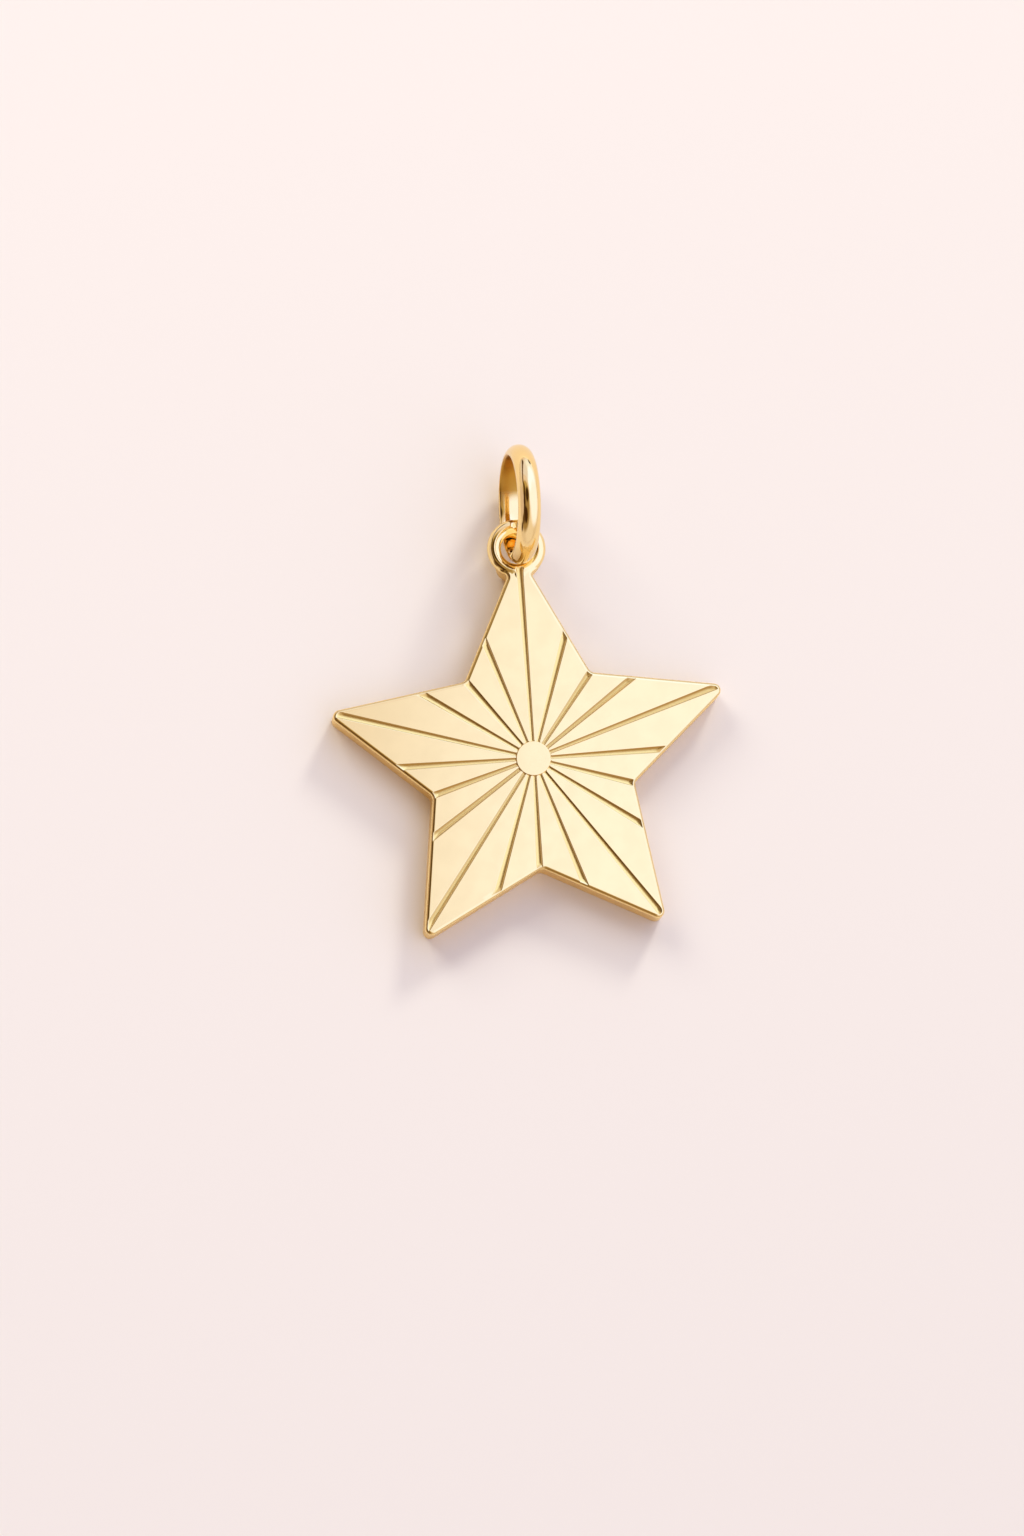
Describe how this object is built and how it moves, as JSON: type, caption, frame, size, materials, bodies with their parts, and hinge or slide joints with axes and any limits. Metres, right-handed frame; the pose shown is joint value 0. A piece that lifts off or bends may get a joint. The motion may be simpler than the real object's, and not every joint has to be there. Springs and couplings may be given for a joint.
{
  "type": "star pendant",
  "caption": "Polished gold-coloured star plate with engraved rays round a small plain disc, a round eye at its top point and a wide ring through the eye for a chain.",
  "frame": {"origin": "centre of the star on its flat back face", "axes": "+X to the right, +Y up the pendant towards its eye and ring, +Z out of the engraved front face"},
  "size_m": [0.0221, 0.0274, 0.0068],
  "materials": {
    "star_metal": "polished gold plate, engraved rays slightly darker",
    "ring_metal": "polished gold plate"
  },
  "bodies": {
    "root": {"star": "star_metal", "bail_ring": "ring_metal"}
  },
  "joints": []
}
